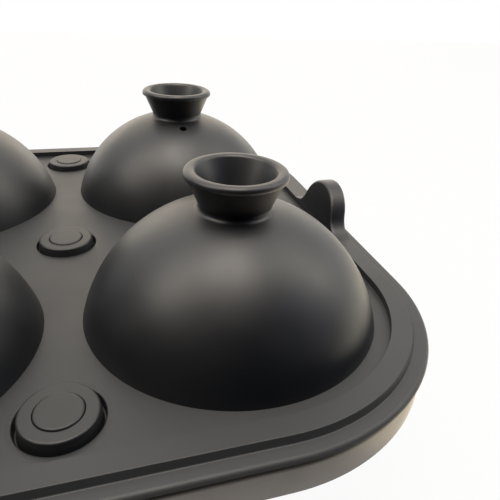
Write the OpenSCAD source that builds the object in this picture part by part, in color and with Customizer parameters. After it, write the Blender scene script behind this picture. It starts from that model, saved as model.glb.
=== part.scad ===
// Silicone mould for four ice balls: a lid of domes with filling funnels, closed over a tray of cups.
// Millimetres. The tray's feet stand on z = 0, +X is to the right and the front edge looks towards -Y.

/* [Ice balls] */
// Diameter of one ice ball
ball_d = 45; // [36:1:60]
// Silicone wall round each ball
wall = 2; // [1.6:0.1:3]
// Gap between the walls of neighbouring balls
ball_gap = 4; // [3.4:0.2:10]

/* [Lid] */
// Thickness of the lid's deck
lid_t = 2; // [1.4:0.1:3]
// Distance from a dome's widest part to the raised rim
moat = 1.7; // [1.2:0.1:4]
// Height of the raised rim above the deck
rim_h = 1.4; // [1:0.1:3]
// Thickness of the rim's roof over the tray's sealing rib
roof_t = 1.2; // [0.9:0.1:2]
// Thickness of the rim's wall inside the sealing rib
rim_wall = 1.1; // [0.9:0.1:2]
// Thickness of the rim's wall outside the sealing rib
brow_t = 0.6; // [0.5:0.1:1.5]
// Width of the ledge outside the raised rim
ledge_w = 2.5; // [1.6:0.1:5]
// Step down from the raised rim to the ledge
ledge_drop = 0.8; // [0.5:0.1:1]
// Thickness of the ledge at its edge
ledge_edge_t = 0.4; // [0.3:0.1:0.8]
// Thickness of the ledge at the rim
ledge_root_t = 1; // [0.9:0.1:1.6]

/* [Filling funnels] */
// Diameter of the filling hole through a dome
neck_d = 7.2; // [6:0.2:9]
// Wall of the funnel where it meets the dome
neck_wall = 1.7; // [1.2:0.1:2.4]
// Inside diameter of the funnel's mouth
mouth_d = 12.4; // [11:0.2:16]
// Width of the lip round the mouth
lip_w = 1.6; // [1:0.1:2.4]
// Height of the lip's outer band
lip_h = 0.7; // [0.5:0.1:1.2]
// Rounding of the lip's inner edge
lip_round = 0.3; // [0.1:0.05:0.4]
// Rounding of the lip's outer edge
lip_soft = 0.6; // [0.1:0.05:0.8]
// Overhang of the lip beyond the cone
lip_over = 0.4; // [0.2:0.1:0.8]
// Height of the funnel above the top of the dome
funnel_h = 5.4; // [4:0.2:9]
// Fillet between the funnel and its dome
funnel_fillet = 0.8; // [0.4:0.1:1.2]
// Diameter of the air vent beside the funnel
vent_d = 1.6; // [1:0.1:2.4]
// Distance of the air vent from the funnel's axis
vent_offset = 8.4; // [8:0.2:12]

/* [Locating pegs] */
// Diameter of a locating peg
peg_d = 6; // [4:0.1:7]
// Clearance of a peg in its collar
peg_fit = 0.12; // [0.1:0.02:0.4]
// Bevel round the tip of a peg
peg_bevel = 0.3; // [0.1:0.05:0.6]
// Bevel round the mouth of a collar
mouth_bevel = 0.25; // [0.1:0.05:0.5]
// Outside diameter of the lid's collar round a peg
collar_d = 10; // [9:0.2:12]
// Height of the collars above the lid's deck
collar_h = 1.3; // [0.9:0.1:2.5]
// Fillet round the foot of a collar
collar_fillet = 0.8; // [0.2:0.1:0.9]
// Distance of the outer pegs from the raised rim
peg_edge = 7.2; // [6.6:0.1:10]

/* [Tray] */
// Depth to which a dome's foot sinks into its cup
plug = 2.8; // [1:0.1:5]
// Air gap between the two decks
deck_gap = 1.4; // [0.6:0.1:3]
// Thickness of the tray's deck
tray_t = 2; // [1.4:0.1:3]
// Wall round the recess that takes a dome's foot
recess_wall = 1.3; // [1:0.1:1.6]
// Depth of that wall below the recess
recess_floor = 2.2; // [1.4:0.1:4]
// Thickness of the tray's sealing rib
rib_t = 1.1; // [0.9:0.1:2]
// Inset of the tray's edge band from the ledge above it
band_inset = 0.4; // [0:0.1:1]
// Height of the edge band
band_h = 6.2; // [4:0.1:8]
// Rounding of the edge band's shoulder
band_shoulder = 1.4; // [0.4:0.1:2.4]
// Rounding of the edge band's foot
band_foot = 1; // [0.4:0.1:1.4]
// Gap between the ledge's root and the edge band
band_gap = 0.3; // [0.2:0.1:2]
// Diameter of the flat foot under a cup
foot_d = 16; // [10:1:24]
// Height of the flat foot below the cup
foot_h = 0.6; // [0.3:0.1:1.5]

/* [Pull tab] */
// Radius of the tab's round end
tab_r = 7.5; // [5:0.5:9]
// Height of the middle of that round end above the raised rim
tab_stem = 0.5; // [0:0.1:4]
// Radius of the fillets at the tab's root
tab_fillet = 4.9; // [2:0.1:6]
// Outward lean of the tab in degrees
tab_lean = 9; // [0:1:15]
// Place of the tab along the right edge
tab_y = 0; // [-10:0.5:10]

/* [Fits] */
// Clearance of the sealing rib and the domes' feet
fit = 0.3; // [0.2:0.05:0.5]

/* [Hidden] */
$fn = 96;

// Radii round each ball and the place of its centre
ball_r = ball_d / 2;
shell_r = ball_r + wall;
recess_r = shell_r + fit;
centre = shell_r + ball_gap / 2;

// Heights, from the feet upwards
equator_z = foot_h + shell_r;
tray_top = equator_z + plug;
tray_low = tray_top - tray_t;
lid_low = tray_top + deck_gap;
deck_top = lid_low + lid_t;
rim_top = deck_top + rim_h;
roof_low = rim_top - roof_t;
ledge_top = rim_top - ledge_drop;
ledge_low = ledge_top - ledge_root_t;
band_top = ledge_low - band_gap;
band_low = band_top - band_h;
dome_top = equator_z + shell_r;
mouth_top = dome_top + funnel_h;

// Distances outwards from the lines through the balls' centres, along which the edges run
rim_in = shell_r + moat;
slot_in = rim_in + rim_wall;
rib_in = slot_in + fit;
rib_out = rib_in + rib_t;
slot_out = rib_out + fit;
rim_out = slot_out + brow_t;
ledge_out = rim_out + ledge_w;
band_out = ledge_out - band_inset;
band_curve = min(band_shoulder, band_out - rib_out);

// The funnel's radii
neck_r = neck_d / 2;
mouth_r = mouth_d / 2;
lip_r = mouth_r + lip_w;
lip_curve = min(lip_soft, lip_h - lip_round / 2, lip_w - 2 * lip_round);

// Places of the pegs
peg_r = peg_d / 2;
collar_r = collar_d / 2;
peg_out = centre + rim_in - peg_edge;

// The tab is as thick as the raised rim that it grows from, and its fillets end this far from its middle
tab_t = rim_out - rim_in;
tab_reach = sqrt(pow(tab_r + tab_fillet, 2) - pow(tab_fillet - tab_stem, 2));

// Overshoot of a cut past the face that it opens
over = 1;

silicone = "#2b2b2d";
silicone_tray = "#3a3a3c";

// Flat outline of the mould, a square with corners round the outer balls
module outline(out) {
    square([2 * (centre + out), 2 * centre], center = true);
    square([2 * centre, 2 * (centre + out)], center = true);
    for (x = [-centre, centre], y = [-centre, centre])
        translate([x, y])
            circle(r = out);
}

// A section, drawn as distance outwards and height, carried round the outline of the mould
module carried_round() {
    for (turn = [0 : 90 : 270])
        rotate(turn) {
            translate([centre, centre, 0])
                rotate_extrude(angle = 90)
                    children();
            translate([centre, centre, 0])
                rotate([90, 0, 0])
                    linear_extrude(2 * centre)
                        children();
        }
}

// What a rounding takes off the outer corner of a section, at its top for side 1 and at its foot for side -1
module corner_cut(corner, r, side) {
    difference() {
        translate([corner[0] - r, min(corner[1] + side * over, corner[1] - side * r)])
            square(r + over);
        translate([corner[0] - r, corner[1] - side * r])
            circle(r = r);
    }
}

// Hole through the lid for a peg, bevelled at its mouth
module peg_hole(x, y) {
    hole_r = peg_r + peg_fit;
    hole_h = lid_t + collar_h;
    translate([x, y, lid_low]) {
        translate([0, 0, -over])
            cylinder(r = hole_r, h = hole_h + 2 * over);
        translate([0, 0, hole_h - mouth_bevel])
            cylinder(r1 = hole_r, r2 = hole_r + mouth_bevel + over, h = mouth_bevel + over);
    }
}

// Collar on the lid's deck, with a fillet round its foot
module collar(x, y) {
    translate([x, y, lid_low])
        rotate_extrude() {
            square([collar_r, lid_t + collar_h]);
            difference() {
                square([collar_r + collar_fillet, lid_t + collar_fillet]);
                translate([collar_r + collar_fillet, lid_t + collar_fillet])
                    circle(r = collar_fillet);
            }
        }
}

// The lid's deck, with the collars that the tray's pegs come up through
module lid_deck() {
    places = [[0, 0], [0, -peg_out], [0, peg_out], [-peg_out, 0], [peg_out, 0]];
    color(silicone)
        difference() {
            union() {
                translate([0, 0, lid_low])
                    linear_extrude(lid_t)
                        outline(rim_in);
                for (p = places)
                    collar(p[0], p[1]);
            }
            for (p = places)
                peg_hole(p[0], p[1]);
            for (x = [-centre, centre], y = [-centre, centre])
                translate([x, y, equator_z])
                    sphere(r = shell_r);
        }
}

// The lid's raised rim, hollow over the sealing rib, with the thin ledge outside it
module lid_rim() {
    color(silicone)
        carried_round()
            polygon([[rim_in, lid_low], [slot_in, lid_low], [slot_in, roof_low], [slot_out, roof_low],
                     [slot_out, ledge_low], [rim_out, ledge_low], [ledge_out, ledge_top - ledge_edge_t],
                     [ledge_out, ledge_top], [rim_out, ledge_top], [rim_out, rim_top], [rim_in, rim_top]]);
}

// Upper half of a ball's shell, with its filling hole and an air vent on the side given by vent_side
module dome(x, y, vent_side) {
    vent_turn = asin(vent_offset / shell_r);
    color(silicone)
        translate([x, y, equator_z])
            difference() {
                sphere(r = shell_r);
                sphere(r = ball_r);
                translate([-shell_r - over, -shell_r - over, -shell_r - over])
                    cube([2 * (shell_r + over), 2 * (shell_r + over), shell_r + over]);
                cylinder(r = neck_r, h = shell_r + over);
                rotate([-vent_side * vent_turn, 0, 0])
                    translate([0, 0, ball_r - over])
                        cylinder(d = vent_d, h = wall + 2 * over);
            }
}

// Section of the fillet that touches both the cone, from foot along slope, and the round of the dome
module fillet_section(foot, slope) {
    start = foot + funnel_fillet * [slope[1], -slope[0]];
    back = start * slope;
    along = sqrt(back * back - start * start + pow(shell_r + funnel_fillet, 2)) - back;
    middle = start + along * slope;
    difference() {
        polygon([[neck_r, foot[1] - over], middle * shell_r / (shell_r + funnel_fillet), middle,
                 foot + along * slope, [neck_r, shell_r]]);
        translate(middle)
            circle(r = funnel_fillet);
    }
}

// Flared filling funnel with a rounded lip, seated on the round of its dome
module funnel(x, y) {
    foot_r = neck_r + neck_wall;
    top_z = mouth_top - equator_z;
    foot = [foot_r, sqrt(shell_r * shell_r - foot_r * foot_r)];
    brim = [lip_r - lip_over, top_z - lip_h];
    color(silicone)
        translate([x, y, equator_z])
            difference() {
                rotate_extrude() {
                    polygon([[neck_r, foot[1] - over], foot - over * [0, 1], foot, brim,
                             [lip_r, top_z - lip_h], [lip_r, top_z - lip_curve], [lip_r - lip_curve, top_z],
                             [mouth_r + lip_round, top_z], [mouth_r, top_z - lip_round],
                             [mouth_r, top_z - lip_h], [neck_r, shell_r]]);
                    translate([mouth_r + lip_round, top_z - lip_round])
                        circle(r = lip_round);
                    translate([lip_r - lip_curve, top_z - lip_curve])
                        intersection() {
                            circle(r = lip_curve);
                            square(lip_curve);
                        }
                    fillet_section(foot, (brim - foot) / norm(brim - foot));
                }
                sphere(r = shell_r);
            }
}

// Rounded ear for pulling the lid off, which rises from the raised rim with wide fillets and leans outwards
module pull_tab() {
    lean = [[1, 0, tan(tab_lean), 0], [0, 1, 0, 0], [0, 0, 1, 0], [0, 0, 0, 1]];
    color(silicone)
        translate([centre + rim_in, tab_y, rim_top])
            multmatrix(lean)
                rotate([90, 0, 90])
                    linear_extrude(tab_t) {
                        intersection() {
                            translate([0, tab_stem])
                                circle(r = tab_r);
                            translate([-tab_r, 0])
                                square([2 * tab_r, tab_stem + tab_r]);
                        }
                        difference() {
                            polygon([[-tab_reach, 0], [tab_reach, 0], [tab_reach, tab_fillet], [0, tab_stem],
                                     [-tab_reach, tab_fillet]]);
                            for (side = [-1, 1])
                                translate([side * tab_reach, tab_fillet])
                                    circle(r = tab_fillet);
                        }
                    }
}

// The tray's deck, cut out for the feet of the domes
module tray_deck() {
    color(silicone_tray)
        translate([0, 0, tray_low])
            linear_extrude(tray_t)
                difference() {
                    outline(rib_in);
                    for (x = [-centre, centre], y = [-centre, centre])
                        translate([x, y])
                            circle(r = recess_r);
                }
}

// Thick band that stiffens the edge of the tray
module tray_band() {
    color(silicone_tray)
        carried_round()
            difference() {
                translate([rib_out, band_low])
                    square([band_out - rib_out, band_h]);
                corner_cut([band_out, band_top], band_curve, 1);
                corner_cut([band_out, band_low], band_foot, -1);
            }
}

// Upright rib that enters the hollow of the lid's rim
module sealing_rib() {
    color(silicone_tray)
        carried_round()
            translate([rib_in, tray_low])
                square([rib_t, roof_low - fit - tray_low]);
}

// Lower half of a ball's shell, with the recess for the dome's foot and a flat foot below
module cup(x, y) {
    color(silicone_tray)
        translate([x, y, equator_z])
            difference() {
                union() {
                    difference() {
                        sphere(r = shell_r);
                        translate([-shell_r - over, -shell_r - over, 0])
                            cube([2 * (shell_r + over), 2 * (shell_r + over), shell_r + over]);
                    }
                    translate([0, 0, -recess_floor])
                        cylinder(r = recess_r + recess_wall, h = recess_floor + tray_low - equator_z);
                    translate([0, 0, -equator_z])
                        cylinder(d = foot_d, h = foot_h + wall);
                }
                sphere(r = ball_r);
                cylinder(r = recess_r, h = shell_r);
            }
}

// Locating peg, from the tray's deck up to the top of the lid's collar
module peg(x, y) {
    peg_h = deck_top + collar_h - tray_top;
    color(silicone_tray)
        translate([x, y, tray_top]) {
            cylinder(r = peg_r, h = peg_h - peg_bevel);
            translate([0, 0, peg_h - peg_bevel])
                cylinder(r1 = peg_r, r2 = peg_r - peg_bevel, h = peg_bevel);
        }
}

lid_deck();
lid_rim();
dome(-centre, -centre, 1);  // dome_front_left
dome(centre, -centre, 1);  // dome_front_right
dome(-centre, centre, -1);  // dome_back_left
dome(centre, centre, -1);  // dome_back_right
funnel(-centre, -centre);  // funnel_front_left
funnel(centre, -centre);  // funnel_front_right
funnel(-centre, centre);  // funnel_back_left
funnel(centre, centre);  // funnel_back_right
pull_tab();
tray_deck();
tray_band();
sealing_rib();
cup(-centre, -centre);  // cup_front_left
cup(centre, -centre);  // cup_front_right
cup(-centre, centre);  // cup_back_left
cup(centre, centre);  // cup_back_right
peg(0, 0);  // peg_centre
peg(0, -peg_out);  // peg_front
peg(0, peg_out);  // peg_back
peg(-peg_out, 0);  // peg_left
peg(peg_out, 0);  // peg_right
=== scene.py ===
import math

import bpy
from mathutils import Matrix, Vector


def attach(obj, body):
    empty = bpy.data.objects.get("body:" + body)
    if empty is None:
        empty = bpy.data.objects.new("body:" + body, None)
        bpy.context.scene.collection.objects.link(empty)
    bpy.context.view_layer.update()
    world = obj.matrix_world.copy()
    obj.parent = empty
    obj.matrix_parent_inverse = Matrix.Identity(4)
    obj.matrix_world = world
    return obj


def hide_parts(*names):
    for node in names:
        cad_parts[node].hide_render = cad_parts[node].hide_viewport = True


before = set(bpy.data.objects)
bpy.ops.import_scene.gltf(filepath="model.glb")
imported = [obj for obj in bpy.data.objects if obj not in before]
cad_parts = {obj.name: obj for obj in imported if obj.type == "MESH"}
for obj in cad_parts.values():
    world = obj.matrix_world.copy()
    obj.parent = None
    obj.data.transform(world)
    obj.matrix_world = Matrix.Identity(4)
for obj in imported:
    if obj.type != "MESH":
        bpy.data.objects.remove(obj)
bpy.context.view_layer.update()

# Camera
# The photograph looks down from close in front, across the near right dome, and its frame cuts the left side.
# Place, turn and lens come from a fit to the rim, the collars, the domes and the funnels.
mm = 0.001
view_place = Vector((7.286, -93.072, 80.339)) * mm
view_yaw, view_pitch, view_roll = (math.radians(turn) for turn in (18.304, -29.198, -3.517))
view_lens, view_sensor, view_nearest = 36.205, 36.0, 5 * mm

ahead = Vector((math.sin(view_yaw) * math.cos(view_pitch), math.cos(view_yaw) * math.cos(view_pitch),
                math.sin(view_pitch)))
across = Vector((math.cos(view_yaw), -math.sin(view_yaw), 0))
level = Matrix((across, across.cross(ahead), -ahead)).transposed()
view_turn = level @ Matrix.Rotation(-view_roll, 3, "Z")
bpy.ops.object.camera_add(location=view_place, rotation=view_turn.to_euler())
camera = bpy.context.object
camera.data.lens, camera.data.sensor_width, camera.data.clip_start = view_lens, view_sensor, view_nearest
bpy.context.scene.camera = camera

# Silicone
# Both mouldings are black silicone rubber, pressed in cavities that were spark eroded to an even matte. That
# gives a very dark body under a broad, slightly cloudy sheen. The index is above silicone's 1.41, to give the
# sheen its strength in the photograph, and the grain is drawn coarser than it is, or it would not show.
grain_mm, grain_depth_mm, cloud_mm, flow_mm = 0.3, 0.004, 7.0, 26.0


def linear(code):
    """A colour written as sRGB hex, in the renderer's linear values."""
    shades = [int(code[at:at + 2], 16) / 255 for at in (1, 3, 5)]
    return [s / 12.92 if s <= 0.04045 else ((s + 0.055) / 1.055) ** 2.4 for s in shades] + [1]


def add_node(tree, kind, values=None, links=None, **settings):
    """Adds a node with its settings, its sockets' values, and the outputs that its sockets are linked to."""
    node = tree.nodes.new(kind)
    for name, value in settings.items():
        setattr(node, name, value)
    for socket, value in (values or {}).items():
        node.inputs[socket].default_value = value
    for socket, output in (links or {}).items():
        tree.links.new(output, node.inputs[socket])
    return node


def moulded_silicone(name, deep, bloom, ior, smoothest, roughest):
    """Black silicone rubber whose tone runs between two colours, and its sheen between two roughnesses."""
    material = bpy.data.materials.new(name)
    material.use_nodes = True
    tree = material.node_tree
    shader = tree.nodes["Principled BSDF"]
    where = add_node(tree, "ShaderNodeTexCoord").outputs["Object"]
    cloud, flow, grain = (
        add_node(tree, "ShaderNodeTexNoise", {"Scale": 1 / (size * mm), "Detail": detail}, {"Vector": where})
        for size, detail in ((cloud_mm, 3.0), (flow_mm, 1.0), (grain_mm, 1.0)))
    tone = add_node(tree, "ShaderNodeMix", {"A": linear(deep), "B": linear(bloom)},
                    {"Factor": flow.outputs["Fac"]}, data_type="RGBA")
    sheen = add_node(tree, "ShaderNodeMapRange",
                     {"From Min": 0.3, "From Max": 0.7, "To Min": smoothest, "To Max": roughest},
                     {"Value": cloud.outputs["Fac"]})
    relief = add_node(tree, "ShaderNodeBump", {"Strength": 1.0, "Distance": grain_depth_mm * mm},
                      {"Height": grain.outputs["Fac"]})
    shader.inputs["IOR"].default_value = ior
    tree.links.new(tone.outputs["Result"], shader.inputs["Base Color"])
    tree.links.new(sheen.outputs["Result"], shader.inputs["Roughness"])
    tree.links.new(relief.outputs["Normal"], shader.inputs["Normal"])
    return material


# Fine spark erosion leaves the domes, funnels and tab nearly black, with soft highlights and navy shadows.
lid_silicone = moulded_silicone("black_silicone_spark_eroded_fine", "#060a12", "#0a0e14", 1.7, 0.42, 0.48)
# Coarser erosion on the tray and the collars scatters the sheen a little more, so that their faces look even.
tray_silicone = moulded_silicone("black_silicone_spark_eroded_coarse", "#0e1116", "#15181c", 1.68, 0.48, 0.54)
# The lid's flat deck and rim are the lid's silicone in a lighter colour. This is painted light for the light
# from above, and it keeps them grey where they turn from the light.
flat_silicone_painted_light = moulded_silicone("black_silicone_flats_painted_lighter", "#2e3033", "#36383b", 1.56, 0.48, 0.54)

# Cups
# Each cup is the lower half of a ball's shell, moulded in one with the silicone tray. Its recess takes the
# foot of a dome, and a small flat foot below keeps the mould level while it is filled.
ball_r, shell_r, centre = 22.5, 24.5, 26.5
equator_z, tray_low, tray_top = 25.1, 25.9, 27.9
recess_r, recess_out, recess_low, foot_r = 24.8, 26.1, 22.9, 8.0
recess_soft, edge_soft, heel_soft, sole_soft, edge_back = 0.2, 0.3, 0.5, 0.4, 0.1
# A hair keeps faces out of one plane, and what is sunk into the deck stops a skin above its underside.
hair, skin, sharp_angle = 0.02, 0.5, 35
touch = hair * mm / 4
quarters = {"front_left": (-1, -1), "front_right": (1, -1), "back_left": (-1, 1), "back_right": (1, 1)}


def choose(piece, test):
    """Selects the points of a piece that pass a test on their place, and goes back to editing it."""
    bpy.ops.object.mode_set(mode="EDIT")
    bpy.ops.mesh.select_mode(type="VERT")
    bpy.ops.mesh.select_all(action="DESELECT")
    bpy.ops.object.mode_set(mode="OBJECT")
    for point in piece.data.vertices:
        point.select = test(point.co)
    bpy.ops.object.mode_set(mode="EDIT")


def draw_section(name, corners, place, closed=True):
    """Draws a section from (distance, height, rounding) corners in mm. A plane shrunk to one point is drawn
    out from corner to corner, closed, and bevelled where a corner asks for a rounding."""
    spots = [Vector(place(out, up)) * mm for out, up, _ in corners]
    bpy.ops.object.select_all(action="DESELECT")
    bpy.ops.mesh.primitive_plane_add(size=mm, location=(0, 0, 0), enter_editmode=True)
    piece = bpy.context.object
    piece.name = piece.data.name = name
    bpy.ops.mesh.merge(type="CENTER")
    bpy.ops.transform.translate(value=spots[0])
    for here, there in zip(spots, spots[1:]):
        bpy.ops.mesh.extrude_vertices_move(TRANSFORM_OT_translate={"value": there - here})
    if closed:
        choose(piece, lambda co: min((co - spots[0]).length, (co - spots[-1]).length) < touch)
        bpy.ops.mesh.edge_face_add()
    for rounding in sorted({corner[2] for corner in corners if corner[2]}):
        asked = [spot for spot, corner in zip(spots, corners) if corner[2] == rounding]
        choose(piece, lambda co: min((co - spot).length for spot in asked) < touch)
        bpy.ops.mesh.bevel(offset=rounding * mm, segments=4 + round(2 * rounding), affect="VERTICES")
    bpy.ops.mesh.select_all(action="SELECT")
    return piece


def close_up(piece):
    """Merges the seams, turns the faces outwards and smooths all but the sharp edges."""
    bpy.ops.mesh.select_all(action="SELECT")
    bpy.ops.mesh.remove_doubles(threshold=touch)
    bpy.ops.mesh.normals_make_consistent(inside=False)
    bpy.ops.object.mode_set(mode="OBJECT")
    bpy.ops.object.shade_smooth_by_angle(angle=math.radians(sharp_angle))
    return piece


def lathe(name, corners, closed=True, steps=144):
    """Turns a section about the Z axis."""
    piece = draw_section(name, corners, lambda out, up: (out, 0, up), closed)
    bpy.ops.mesh.spin(steps=steps, angle=math.tau, center=(0, 0, 0), axis=(0, 0, 1))
    return close_up(piece)


def arc(middle, radius, start, end, steps):
    """Corners along an arc, with its angles in degrees from the horizontal."""
    turns = [math.radians(start + (end - start) * step / steps) for step in range(steps + 1)]
    return [(middle[0] + radius * math.cos(turn), middle[1] + radius * math.sin(turn), 0) for turn in turns]


def copy_to(pattern, name, x, y, turn=0):
    """Copies a piece with its own mesh to a place in mm, turned about Z."""
    bpy.ops.object.select_all(action="DESELECT")
    pattern.select_set(True)
    bpy.context.view_layer.objects.active = pattern
    bpy.ops.object.duplicate()
    piece = bpy.context.object
    piece.name = piece.data.name = name
    piece.location, piece.rotation_euler.z = (x * mm, y * mm, 0), math.radians(turn)
    bpy.ops.object.transform_apply(location=True, rotation=True, scale=True)
    return piece


def belongs(piece, body, node, material):
    """Gives a piece its finish, and makes it stand for a CAD node and move with that node's body."""
    piece.data.materials.clear()
    piece.data.materials.append(material)
    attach(piece, body)
    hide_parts(node)


heel_turn = -math.degrees(math.asin((equator_z - recess_low) / shell_r))
foot_turn = -math.degrees(math.acos(foot_r / shell_r))
cup_section = [(0, equator_z - ball_r, 0), *arc((0, equator_z), ball_r, -90, 0, steps=40)[1:]]
cup_section += [
    (recess_r, equator_z, recess_soft), (recess_r, tray_top - hair, edge_soft),
    (recess_out - edge_back, tray_top - hair, 0), (recess_out - edge_back, tray_low + skin, 0),
    (recess_out, tray_low, 0), (recess_out, recess_low, heel_soft),
]
cup_section += arc((0, equator_z), shell_r, heel_turn, foot_turn, steps=36)
cup_section += [(foot_r, 0, sole_soft), (0, 0, 0)]
cup = lathe("cup_pattern", cup_section, closed=False)
for quarter, (side_x, side_y) in quarters.items():
    piece = copy_to(cup, "cup_" + quarter + "_shell", side_x * centre, side_y * centre)
    belongs(piece, "tray", "cup_" + quarter, tray_silicone)
bpy.data.objects.remove(cup)

# Tray deck
# A flat web of silicone between the cups, in one with them and with the rib round its edge.
# It lies just below the lid's deck and carries the pegs.
# Regions of one moulding overlap by a lap, a seat or a skirt, so that no seam opens between them.
rib_in, lap, seat = 27.6, 0.3, 0.6


def plate(name, half, low, high, holes):
    """A flat plate with its corners rounded about the outer balls and holes of (x, y, radius), all in mm."""
    bpy.ops.object.select_all(action="DESELECT")
    bpy.ops.mesh.primitive_plane_add(size=2 * half * mm, location=(0, 0, low * mm), enter_editmode=True)
    piece = bpy.context.object
    piece.name = piece.data.name = name
    bpy.ops.mesh.bevel(offset=(half - centre) * mm, segments=36, affect="VERTICES")
    bpy.ops.mesh.delete(type="ONLY_FACE")
    for x, y, radius in holes:
        bpy.ops.mesh.primitive_circle_add(vertices=144, radius=radius * mm,
                                          location=(x * mm, y * mm, low * mm))
    bpy.ops.mesh.select_all(action="SELECT")
    bpy.ops.mesh.fill()
    bpy.ops.mesh.extrude_region_move(TRANSFORM_OT_translate={"value": (0, 0, (high - low) * mm)})
    close_up(piece)
    bpy.ops.object.transform_apply(location=True, rotation=True, scale=True)
    return piece


recess_holes = [(x * centre, y * centre, recess_r + seat) for x, y in quarters.values()]
web = plate("tray_deck_web", centre + rib_in + lap, tray_low, tray_top, recess_holes)
belongs(web, "tray", "tray_deck", tray_silicone)

# Edge band
# A thick bead of silicone round the tray, which keeps its thin web flat. Its shoulder turns in under the
# lid's ledge. Its upright face catches light from the white ground, so it is the palest part of the mould.
rib_out, band_out, band_low, band_top = 28.7, 31.7, 24.4, 30.6
band_shoulder, band_foot = 1.2, 1.0


def carry_round(name, corners, steps=36):
    """Carries a section of (distance, height, rounding) corners round the square of the balls' centres."""
    piece = draw_section(name, corners, lambda out, up: (centre + out, -centre, up))
    for side in range(4):
        turned = Matrix.Rotation(side * math.pi / 2, 3, "Z")
        straight = turned @ Vector((0, 2 * centre, 0)) * mm
        bpy.ops.mesh.extrude_edges_move(TRANSFORM_OT_translate={"value": straight})
        corner = turned @ Vector((centre, centre, 0)) * mm
        bpy.ops.mesh.spin(steps=steps, angle=-math.pi / 2, center=corner, axis=(0, 0, 1))
    return close_up(piece)


belongs(carry_round("tray_edge_band", [
    (rib_out - lap, band_low, 0), (band_out, band_low, band_foot),
    (band_out, band_top, band_shoulder), (rib_out - lap, band_top, 0),
]), "tray", "tray_band", tray_silicone)

# Sealing rib
# An upright rib round the tray that enters the hollow of the lid's rim, so that the lid closes tight.
# It is in one with the tray's deck and edge band.
rib_top, rib_soft, rib_fillet = 31.2, 0.35, 0.3

belongs(carry_round("tray_sealing_rib", [
    (rib_in, tray_low, 0), (rib_out, tray_low, 0), (rib_out, rib_top, rib_soft), (rib_in, rib_top, rib_soft),
    (rib_in, tray_top, rib_fillet), (rib_in - seat, tray_top + hair / 2, 0),
    (rib_in - seat, tray_low + skin, 0), (rib_in, tray_low + skin, 0),
]), "tray", "sealing_rib", tray_silicone)

# Pegs
# Five short round pegs on the tray's deck come up through the lid's collars and hold the two halves in line.
# Their rounded tips stand just above the collars, with a fine groove round them.
peg_r, peg_top, peg_out = 3.08, 32.7, 45.5
tip_flat, tip_soft, peg_fillet, skirt = 0.5, 0.3, 0.4, 0.7
peg_places = {"centre": (0, 0), "front": (0, -peg_out), "back": (0, peg_out),
              "left": (-peg_out, 0), "right": (peg_out, 0)}

peg = lathe("peg_pattern", [
    (0, peg_top, 0), (peg_r - tip_flat, peg_top, 0), (peg_r, peg_top, tip_soft),
    (peg_r, tray_top + hair / 2, peg_fillet), (peg_r + skirt, tray_top + hair / 2, 0),
    (peg_r + skirt, tray_low + skin, 0), (0, tray_low + skin, 0),
], closed=False, steps=72)
for place, (x, y) in peg_places.items():
    belongs(copy_to(peg, "peg_" + place + "_pin", x, y), "tray", "peg_" + place, tray_silicone)
bpy.data.objects.remove(peg)

# Lid deck
# The flat web of the lid, between the domes and the raised rim, in one moulding with both.
# A low round collar stands on it for each of the tray's pegs, in a narrow moat that shows as a crescent.
lid_low, deck_top, rim_in = 29.3, 31.3, 26.2
collar_r, collar_hole, collar_top = 4.9, 3.12, 32.5
moat_r, moat_low, draft, dome_hole = 5.5, 29.9, 0.25, 23.0
hole_soft, hole_lead, moat_soft, moat_edge, moat_draft = 0.1, 0.15, 0.05, 0.25, 0.1

deck_holes = [(x * centre, y * centre, dome_hole) for x, y in quarters.values()]
deck_holes += [(x, y, moat_r + lap) for x, y in peg_places.values()]
deck = plate("lid_deck_web", centre + rim_in + lap, lid_low + hair, deck_top, deck_holes)
collar = lathe("collar_pattern", [
    (collar_hole, collar_top, hole_soft), (collar_hole + draft, collar_top, 0),
    (collar_r - tip_flat, collar_top, 0), (collar_r, collar_top, tip_soft),
    (collar_r + draft, moat_low, moat_soft), (moat_r - moat_draft, moat_low, moat_soft),
    (moat_r, deck_top + hair / 2, moat_edge), (moat_r + skirt, deck_top + hair / 2, 0),
    (moat_r + skirt, lid_low + 2 * hair, 0), (collar_hole, lid_low + 2 * hair, hole_lead),
], steps=96)
for place, (x, y) in peg_places.items():
    belongs(copy_to(collar, "collar_" + place + "_ring", x, y), "lid", "lid_deck", tray_silicone)
bpy.data.objects.remove(collar)
# The deck web wears the lid's silicone painted lighter, as painted light.
belongs(deck, "lid", "lid_deck", flat_silicone_painted_light)

# Lid rim
# The lid's edge rises in a flat-topped rim, in one with the deck and hollow below for the sealing rib. It
# ends in a ledge, a sloped step down. The step's edges are crisp, and the ledge's outer edge is rolled off
# where a thumb lifts the lid.
slot_in, slot_out, rim_out, ledge_out = 27.3, 29.0, 29.28, 32.1
roof_low, ledge_low, ledge_top, rim_top = 31.5, 30.68, 31.55, 32.55
ledge_roll, ledge_end = 0.9, 20
step_run, step_soft, foot_soft, level_strip = 0.46, 0.08, 0.14, 0.2
slot_soft, mouth_soft, inner_soft, rim_root = 0.25, 0.15, 0.3, 0.8

roll_middle = (ledge_out - ledge_roll * math.cos(math.radians(ledge_end)), ledge_top - ledge_roll)
rolled = arc(roll_middle, ledge_roll, 90, ledge_end, steps=10)
# The rim wears the lid's silicone painted lighter, as painted light.
belongs(carry_round("lid_rim_edge", [
    (rim_in, rim_top, 0), (rim_out - level_strip, rim_top, 0), (rim_out, rim_top, step_soft),
    (rim_out + step_run, ledge_top, foot_soft), (rim_out + step_run + level_strip, ledge_top, 0), *rolled,
    (rim_out, ledge_low, 0), (slot_out, ledge_low, mouth_soft), (slot_out, roof_low, slot_soft),
    (slot_in, roof_low, slot_soft), (slot_in, lid_low, inner_soft), (rim_in, lid_low, 0),
    (rim_in, deck_top - rim_root, 0), (rim_in - seat, deck_top - rim_root, 0),
    (rim_in - seat, deck_top + hair / 2, 0), (rim_in, deck_top + hair / 2, 0),
]), "lid", "lid_rim", flat_silicone_painted_light)

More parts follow.
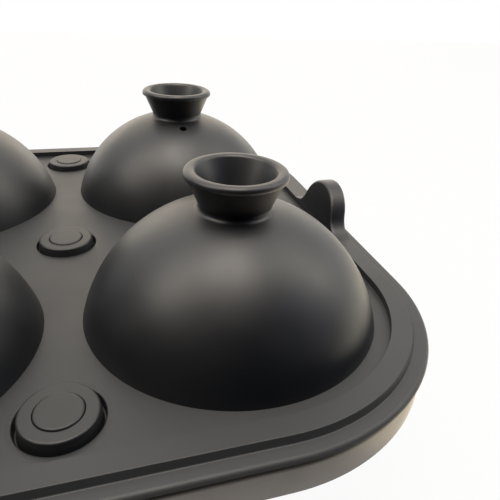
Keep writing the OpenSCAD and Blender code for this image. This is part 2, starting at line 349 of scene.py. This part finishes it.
# Domes
# Each dome is the upper half of a ball's shell, moulded in one with the lid. It stands through the deck with
# a sharp crease, and its foot drops into a cup below. A pin in the tool leaves a small air vent beside the
# funnel, towards the middle line.
neck_r, bore_lap, foot_out_soft, foot_in_soft = 3.6, 0.6, 0.3, 0.2
vent_d, vent_offset, pin_length = 1.6, 8.4, 8

bore_r = neck_r + bore_lap
outer_end, inner_end = (math.degrees(math.acos(bore_r / radius)) for radius in (shell_r, ball_r))
dome_section = [(shell_r, equator_z, foot_out_soft)]
dome_section += arc((0, equator_z), shell_r, 0, outer_end, steps=48)[1:]
dome_section += arc((0, equator_z), ball_r, inner_end, 0, steps=44)[:-1]
dome_section += [(ball_r, equator_z, foot_in_soft)]
dome = lathe("dome_pattern", dome_section, steps=160)
vent_tilt = math.asin(vent_offset / shell_r)
vent_middle = Vector((0, -vent_offset, equator_z + shell_r * math.cos(vent_tilt))) * mm
bpy.ops.object.select_all(action="DESELECT")
bpy.ops.mesh.primitive_cylinder_add(vertices=32, radius=vent_d / 2 * mm, depth=pin_length * mm,
                                    location=vent_middle, rotation=(vent_tilt, 0, 0))
pin = bpy.context.object
bpy.context.view_layer.objects.active = dome
bore = dome.modifiers.new("vent", "BOOLEAN")
bore.operation, bore.solver, bore.object = "DIFFERENCE", "EXACT", pin
bpy.ops.object.modifier_apply(modifier=bore.name)
bpy.data.objects.remove(pin)
dome.select_set(True)
bpy.ops.object.mode_set(mode="EDIT")
close_up(dome)
for quarter, (side_x, side_y) in quarters.items():
    turn = 0 if side_y > 0 else 180
    piece = copy_to(dome, "dome_" + quarter + "_shell", side_x * centre, side_y * centre, turn)
    belongs(piece, "lid", "dome_" + quarter, lid_silicone)
bpy.data.objects.remove(dome)

# Funnels
# Water is poured in through a flared funnel on each dome, moulded in one with it. It has a soft rounded lip,
# and a small fillet runs from its cone into the round of the dome.
mouth_r, lip_r, mouth_top, lip_h, lip_over = 6.2, 7.8, 55.0, 1.0, 0.4
cone_foot_r, fillet_r, neck_wall, funnel_root = 5.3, 0.8, 1, 0.8
lip_in_soft, lip_out_soft, lip_under_soft, brim_soft = 0.45, 0.75, 0.05, 0.1
neck_end_soft, neck_soft = 0.2, 0.6

foot = Vector((cone_foot_r, math.sqrt(shell_r ** 2 - cone_foot_r ** 2)))
brim = Vector((lip_r - lip_over, mouth_top - lip_h - equator_z))
slope = (brim - foot).normalized()
first = foot + fillet_r * Vector((slope.y, -slope.x))
along = math.sqrt(first.dot(slope) ** 2 - first.length_squared + (shell_r + fillet_r) ** 2) - first.dot(slope)
middle = first + along * slope
cone_turn = math.degrees(math.atan2(slope.x, -slope.y))
dome_turn = math.degrees(math.atan2(-middle.y, -middle.x))
root_z, wall_r = foot.y + equator_z - funnel_root, neck_r + neck_wall
funnel_section = [(mouth_r, mouth_top, lip_in_soft), (lip_r, mouth_top, lip_out_soft),
                  (lip_r, mouth_top - lip_h, lip_under_soft), (brim.x, brim.y + equator_z, brim_soft)]
funnel_section += arc((middle.x, middle.y + equator_z), fillet_r, cone_turn, dome_turn % 360, steps=10)
funnel_section += [(middle.x, root_z, 0), (wall_r, root_z, 0),
                   (wall_r, equator_z + math.sqrt(ball_r ** 2 - wall_r ** 2) - hair / 2, 0),
                   (neck_r, equator_z + math.sqrt(ball_r ** 2 - neck_r ** 2) - hair / 2, neck_end_soft),
                   (neck_r, equator_z + shell_r, neck_soft)]
funnel = lathe("funnel_pattern", funnel_section, steps=128)
for quarter, (side_x, side_y) in quarters.items():
    piece = copy_to(funnel, "funnel_" + quarter + "_spout", side_x * centre, side_y * centre)
    belongs(piece, "lid", "funnel_" + quarter, lid_silicone)
bpy.data.objects.remove(funnel)

# Pull tab
# A thick rounded ear grows out of the raised rim in the middle of the right edge, in one with it, and leans
# outwards. It is pulled to peel the lid off. Its edges are soft, and wide fillets run from it into the rim
# and end at the rim's outer edge.
tab_r, tab_stem, tab_fillet, tab_soft, tab_thick = 7.5, 0.6, 4.9, 0.6, 3.4
tab_lean, tab_sharp = math.tan(math.radians(9)), math.radians(60)
tab_root, tab_crisp = 0.8, 0.4
# The outer face comes back to the rim's edge in even stages, which start this far from the tab's two ends.
tab_run_in = (1.9, 1.5, 1.1, 0.7, 0.3)

tab_reach = math.sqrt((tab_r + tab_fillet) ** 2 - (tab_fillet - tab_stem) ** 2)
tab_turn = math.degrees(math.asin((tab_fillet - tab_stem) / (tab_r + tab_fillet)))
fillet_z = rim_top + tab_fillet + hair
tab_section = [(tab_reach, rim_top - tab_root, 0)]
tab_section += arc((tab_reach, fillet_z), tab_fillet, 270, 180 + tab_turn, steps=16)
tab_section += arc((0, rim_top + tab_stem + hair), tab_r, tab_turn, 180 - tab_turn, steps=48)[1:]
tab_section += arc((-tab_reach, fillet_z), tab_fillet, -tab_turn, -90, steps=16)[1:]
tab_section += [(-tab_reach, rim_top - tab_root, 0)]
tab = draw_section("pull_tab_ear", tab_section,
                   lambda out, up: (centre + rim_in - hair + tab_lean * max(up - rim_top, 0), out, up))
bpy.ops.mesh.edge_face_add()
bpy.ops.mesh.extrude_region_move(TRANSFORM_OT_translate={"value": ((tab_thick + 2 * hair) * mm, 0, 0)})
tab_middle, overhang = centre + rim_in + tab_thick / 2, rim_in + tab_thick + 2 * hair - rim_out
for run_in in tab_run_in:
    choose(tab, lambda co: abs(co.y) > (tab_reach - run_in) * mm and co.x > tab_middle * mm)
    bpy.ops.transform.translate(value=(-overhang / len(tab_run_in) * mm, 0, 0))
bpy.ops.mesh.select_all(action="SELECT")
bpy.ops.mesh.normals_make_consistent(inside=False)
choose(tab, lambda co: co.z < (rim_top + tab_crisp) * mm)
bpy.ops.mesh.hide(unselected=False)
bpy.ops.mesh.select_mode(type="EDGE")
bpy.ops.mesh.edges_select_sharp(sharpness=tab_sharp)
bpy.ops.mesh.bevel(offset=tab_soft * mm, segments=5)
bpy.ops.mesh.reveal()
belongs(close_up(tab), "lid", "pull_tab", lid_silicone)

# Ground
# A wide sheet of matte white paper, seen as plain white by the camera and in reflections.
# It keeps a faint shadow of the mould, and is clear from below, so that the feet can be looked at.
ground_half, ground_tone, ground_shadow = 0.6, "#f2f2f2", 0.06


def looked_at(tree):
    """An output that is 1 where the camera, a reflection or a view through a clear thing meets a surface."""
    rays = add_node(tree, "ShaderNodeLightPath").outputs
    straight = add_node(tree, "ShaderNodeMath", None, {0: rays["Is Camera Ray"], 1: rays["Is Glossy Ray"]},
                        operation="MAXIMUM")
    return add_node(tree, "ShaderNodeMath", None, {0: straight.outputs[0], 1: rays["Is Transmission Ray"]},
                    operation="MAXIMUM").outputs[0]


bpy.ops.object.select_all(action="DESELECT")
bpy.ops.mesh.primitive_plane_add(size=2 * ground_half, location=(0, 0, -hair * mm))
ground = bpy.context.object
ground.name = "ground"
paper = bpy.data.materials.new("white_paper_ground")
paper.use_nodes = True
tree = paper.node_tree
tree.nodes.clear()
share = add_node(tree, "ShaderNodeMath", {1: 1 - ground_shadow}, {0: looked_at(tree)}, operation="MULTIPLY")
matte = add_node(tree, "ShaderNodeBsdfDiffuse", {"Color": linear(ground_tone)})
white = add_node(tree, "ShaderNodeEmission", {"Color": linear("#ffffff"), "Strength": 1.0})
mixed = add_node(tree, "ShaderNodeMixShader", None,
                 {0: share.outputs[0], 1: matte.outputs[0], 2: white.outputs[0]})
below = add_node(tree, "ShaderNodeNewGeometry").outputs["Backfacing"]
clear = add_node(tree, "ShaderNodeBsdfTransparent")
sheet = add_node(tree, "ShaderNodeMixShader", None, {0: below, 1: mixed.outputs[0], 2: clear.outputs[0]})
add_node(tree, "ShaderNodeOutputMaterial", None, {"Surface": sheet.outputs[0]})
ground.data.materials.append(paper)

# Light
# Plain soft studio light: softboxes above, at both sides and behind, a dim one before the right side, a low
# bright wall behind, and white reflectors on the ground in front and at the right. Dark cards stand in front
# and at the left and lie before the front edge, where no light comes from.
white_wall, room_light = "#ffffff", 0.3
mould_middle = Vector((0.01, -0.01, 0.035))

world = bpy.data.worlds.new("white_room")
bpy.context.scene.world = world
world.use_nodes = True
tree = world.node_tree
tree.nodes.clear()
room = add_node(tree, "ShaderNodeBackground", {"Color": linear(white_wall), "Strength": room_light})
wall = add_node(tree, "ShaderNodeBackground", {"Color": linear(white_wall), "Strength": 1.0})
mixed = add_node(tree, "ShaderNodeMixShader", None,
                 {0: looked_at(tree), 1: room.outputs[0], 2: wall.outputs[0]})
add_node(tree, "ShaderNodeOutputWorld", None, {"Surface": mixed.outputs[0]})


def softbox(name, place, aim, width, height, brightness, colour):
    """A flat lamp of a size in metres that faces a point, with its brightness where a white wall has 1."""
    turn = (Vector(aim) - Vector(place)).to_track_quat("-Z", "Y").to_euler()
    bpy.ops.object.light_add(type="AREA", location=place, rotation=turn)
    lamp = bpy.context.object
    lamp.name = lamp.data.name = name
    lamp.data.shape, lamp.data.size, lamp.data.size_y = "RECTANGLE", width, height
    lamp.data.energy = brightness * math.pi * width * height
    lamp.data.color = linear(colour)[:3]
    lamp.visible_camera = False
    return lamp


def place_round(name, height, turn, distance, width, tall, brightness, colour):
    """A softbox that faces the mould from a height and a turn in degrees, 0 for behind and 90 for right."""
    rise, swing = math.radians(height), math.radians(turn)
    away = Vector((math.sin(swing) * math.cos(rise), math.cos(swing) * math.cos(rise), math.sin(rise)))
    return softbox(name, mould_middle + away * distance, mould_middle, width, tall, brightness, colour)


place_round("softbox_above", 83, 180, 0.7, 0.32, 0.34, 7.7, "#fff4e7")
place_round("softbox_left", 54, -92, 0.7, 0.32, 0.52, 3.4, "#fff4e4")
place_round("softbox_right", 42, 94, 0.7, 0.32, 0.58, 2.3, "#fffae8")
place_round("softbox_before_right", 28, 125, 0.35, 0.20, 0.24, 0.35, "#a8b4ff")
place_round("softbox_behind", 25, 5, 0.8, 0.90, 0.50, 1.1, "#ffe9c6")
place_round("wall_behind", 5, 8, 0.8, 1.3, 0.16, 1.75, "#fff0d4")
softbox("reflector_right", (0.26, 0.06, 0.002), (0.26, 0.06, 0.1), 0.38, 0.30, 1.1, "#ffedbc")
softbox("reflector_front", (0.05, -0.085, 0.002), (0.05, -0.085, 0.1), 0.20, 0.04, 1.1, "#ffebd1")
softbox("reflector_corner", (0.09, -0.04, 0.002), (0.09, -0.04, 0.1), 0.06, 0.09, 1.9, "#ffe9c4")

felt = bpy.data.materials.new("black_felt_card")
felt.use_nodes = True
felt_sockets = felt.node_tree.nodes["Principled BSDF"].inputs
for socket, value in {"Base Color": linear("#0a0a0a"), "Roughness": 1.0, "Specular IOR Level": 0.0}.items():
    felt_sockets[socket].default_value = value


def dark_card(name, place, tilt, width, height):
    """A black card of a size in metres, tilted about X and Y in degrees, which the camera doesn't see."""
    bpy.ops.object.select_all(action="DESELECT")
    bpy.ops.mesh.primitive_plane_add(size=1.0, location=place, rotation=[math.radians(turn) for turn in tilt])
    card = bpy.context.object
    card.name = card.data.name = name
    card.scale = (width, height, 1)
    bpy.ops.object.transform_apply(location=True, rotation=True, scale=True)
    card.data.materials.append(felt)
    card.visible_camera = False


dark_card("dark_card_front", (0, -0.25, 0.6), (90, 0, 0), 3.0, 1.2)
dark_card("dark_card_ground", (0, -0.18, 0.001), (0, 0, 0), 3.0, 0.14)
dark_card("dark_card_left", (-0.3, -0.025, 0.11), (0, 90, 0), 0.22, 0.45)

bpy.context.scene.view_settings.view_transform = "Standard"
